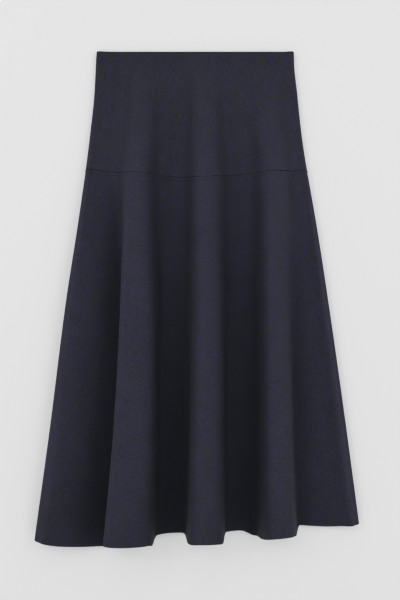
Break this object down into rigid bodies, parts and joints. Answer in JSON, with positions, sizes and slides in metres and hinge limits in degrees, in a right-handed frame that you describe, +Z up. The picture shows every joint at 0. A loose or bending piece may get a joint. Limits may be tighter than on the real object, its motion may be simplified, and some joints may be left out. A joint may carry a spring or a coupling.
{
  "type": "knit midi skirt",
  "caption": "Dark navy knit midi skirt laid flat: smooth fitted yoke with a plain waist edge, curved yoke seam and a long flared lower part standing up in deep soft flutes.",
  "frame": {"origin": "on the surface the skirt lies on, under the middle of its outline", "axes": "+Z up from the surface, +Y towards the waist, +X towards the right of the view from above"},
  "size_m": [0.52, 0.7993, 0.0764],
  "materials": {
    "knit": "matt fine double knit, dark navy"
  },
  "bodies": {
    "root": {"front_yoke": "knit", "back_yoke": "knit", "front_flare": "knit", "back_flare": "knit"}
  },
  "joints": []
}
